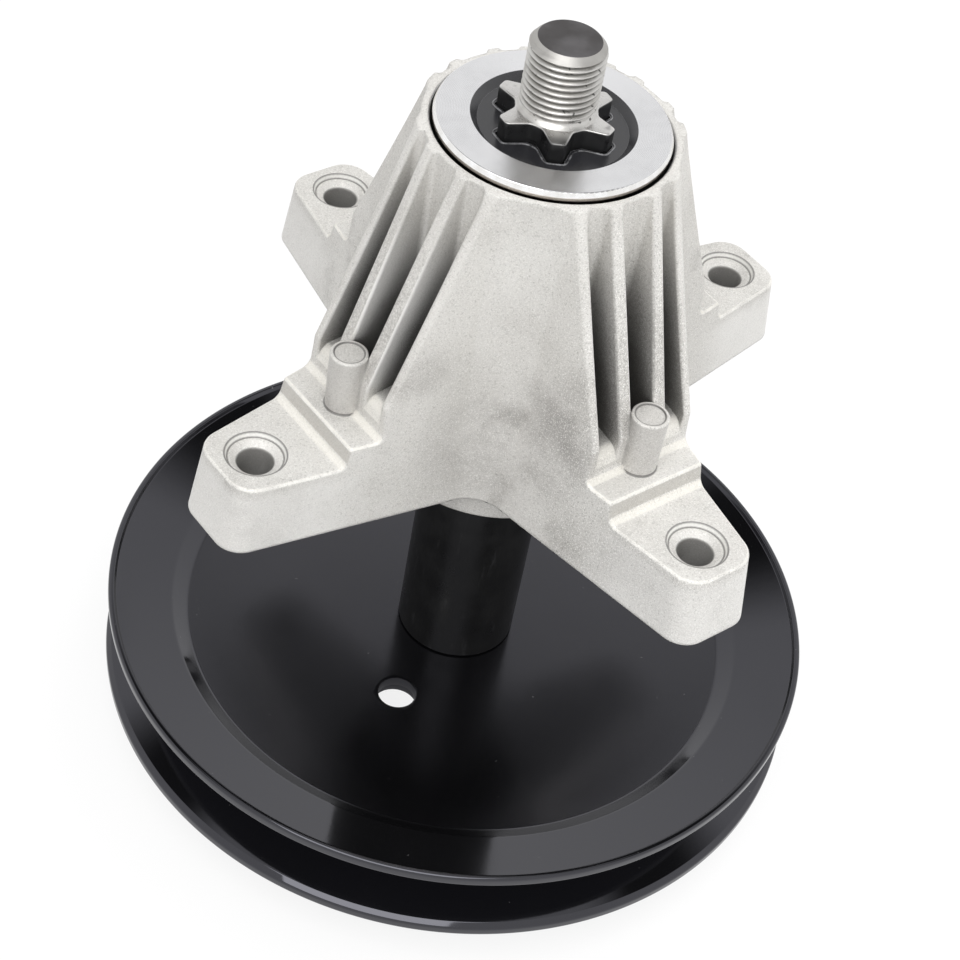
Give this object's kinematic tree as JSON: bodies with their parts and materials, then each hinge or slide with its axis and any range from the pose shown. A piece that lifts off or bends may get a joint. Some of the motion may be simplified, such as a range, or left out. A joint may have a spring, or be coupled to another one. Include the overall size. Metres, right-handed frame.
{
  "type": "mower deck spindle",
  "caption": "Mower deck spindle: ribbed cast housing with bolt ears, sealed bearings, a star-drive threaded blade shaft and a stamped V-belt pulley on a spacer.",
  "frame": {"origin": "on the shaft axis, in the plane of the ears' deck faces, at the centre of the bolt pattern", "axes": "+Z along the shaft towards the blade; X and Y run between the ears, which lie on the diagonals"},
  "size_m": [0.1688, 0.1688, 0.1931],
  "materials": {
    "cast_aluminium": "as-cast, lightly blasted, pale grey",
    "shaft_steel": "turned bright",
    "seat_steel": "turned bright on the face, black in the dish",
    "bearing_steel": "ground",
    "cage_nylon": "moulded",
    "seal_rubber": "moulded black",
    "spacer_steel": "sawn tube",
    "black_spacer": "satin black",
    "black_pulley": "gloss black",
    "nut_zinc": "zinc plated"
  },
  "bodies": {
    "housing": {"spindle_housing": "cast_aluminium", "upper_bearing_outer_ring": "bearing_steel", "upper_bearing_top_seal": "seal_rubber", "upper_bearing_bottom_seal": "seal_rubber", "lower_bearing_outer_ring": "bearing_steel", "lower_bearing_top_seal": "seal_rubber", "lower_bearing_bottom_seal": "seal_rubber"},
    "rotor": {"spindle_shaft": "shaft_steel", "blade_seat_hub": "seat_steel", "upper_bearing_inner_ring": "bearing_steel", "lower_bearing_inner_ring": "bearing_steel", "inner_spacer": "spacer_steel", "outer_spacer": "black_spacer", "pulley_upper_half": "black_pulley", "pulley_lower_half": "black_pulley", "pulley_nut": "nut_zinc"},
    "upper_ball_set": {"upper_bearing_balls": "bearing_steel", "upper_bearing_cage": "cage_nylon"},
    "lower_ball_set": {"lower_bearing_balls": "bearing_steel", "lower_bearing_cage": "cage_nylon"}
  },
  "joints": [
    {"name": "spindle_spin", "type": "hinge", "parent": "housing", "child": "rotor", "pos_m": [0, 0, 0], "axis": [0, 0, 1], "continuous": true},
    {"name": "upper_ball_set_spin", "type": "hinge", "parent": "housing", "child": "upper_ball_set", "pos_m": [0, 0, 0], "axis": [0, 0, 1], "continuous": true},
    {"name": "lower_ball_set_spin", "type": "hinge", "parent": "housing", "child": "lower_ball_set", "pos_m": [0, 0, 0], "axis": [0, 0, 1], "continuous": true}
  ],
  "couplings": [
    {"joint": "upper_ball_set_spin", "follows": "spindle_spin", "ratio": 0.3815},
    {"joint": "lower_ball_set_spin", "follows": "spindle_spin", "ratio": 0.3815}
  ]
}
